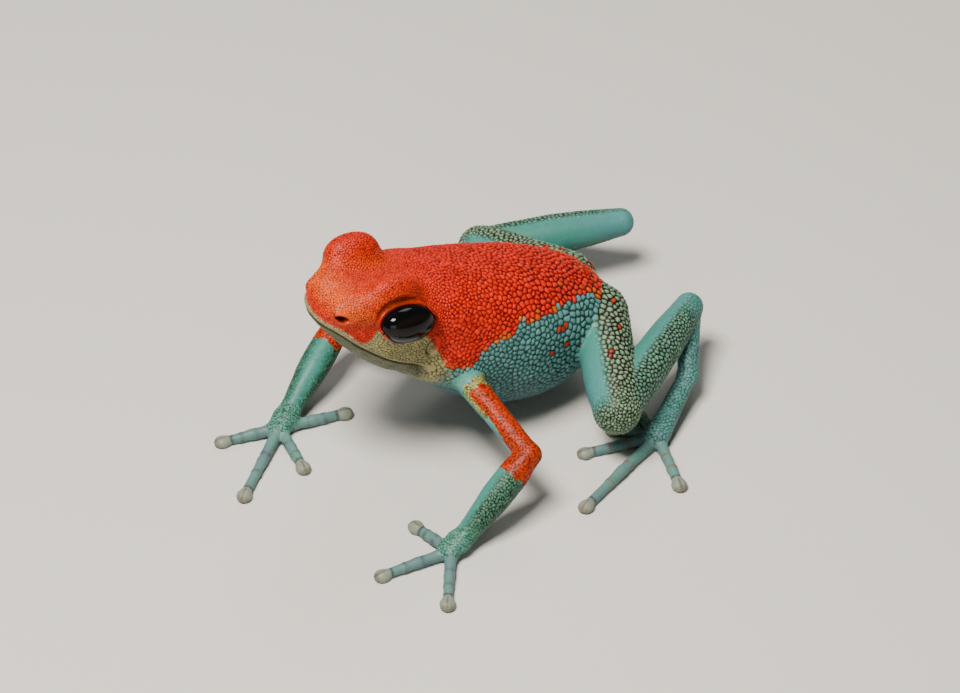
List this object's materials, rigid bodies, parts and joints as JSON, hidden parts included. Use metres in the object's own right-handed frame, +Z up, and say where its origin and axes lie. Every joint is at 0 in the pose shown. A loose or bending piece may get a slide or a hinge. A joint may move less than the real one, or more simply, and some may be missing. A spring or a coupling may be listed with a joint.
{
  "type": "granular poison frog",
  "caption": "Life-size still model of a small granular-skinned poison frog sitting up on its hands with folded hind legs, red-orange back and turquoise limbs.",
  "frame": {"origin": "on the floor under the middle of the bounding box", "axes": "+Z up, -Y where the frog looks, +X to the frog's left"},
  "size_m": [0.0286, 0.0308, 0.0145],
  "materials": {
    "red": "moist granular skin, satin",
    "teal": "moist granular skin, satin",
    "pale_teal": "moist finely granular skin, satin",
    "cream_grey": "moist skin, satin",
    "eye": "wet, mirror gloss"
  },
  "bodies": {
    "root": {"head": "red", "lower_jaw": "cream_grey", "trunk": "teal", "eye_left": "eye", "eye_right": "eye", "upper_arm_left": "red", "forearm_left": "pale_teal", "hand_left": "pale_teal", "finger_left_1": "pale_teal", "finger_left_2": "pale_teal", "finger_left_3": "pale_teal", "finger_left_4": "pale_teal", "thigh_left": "pale_teal", "shank_left": "pale_teal", "tarsus_left": "pale_teal", "foot_left": "pale_teal", "toe_left_1": "pale_teal", "toe_left_2": "pale_teal", "toe_left_3": "pale_teal", "toe_left_4": "pale_teal", "toe_left_5": "pale_teal", "upper_arm_right": "red", "forearm_right": "pale_teal", "hand_right": "pale_teal", "finger_right_1": "pale_teal", "finger_right_2": "pale_teal", "finger_right_3": "pale_teal", "finger_right_4": "pale_teal", "thigh_right": "pale_teal", "shank_right": "pale_teal", "tarsus_right": "pale_teal", "foot_right": "pale_teal", "toe_right_1": "pale_teal", "toe_right_2": "pale_teal", "toe_right_3": "pale_teal", "toe_right_4": "pale_teal", "toe_right_5": "pale_teal"}
  },
  "joints": []
}
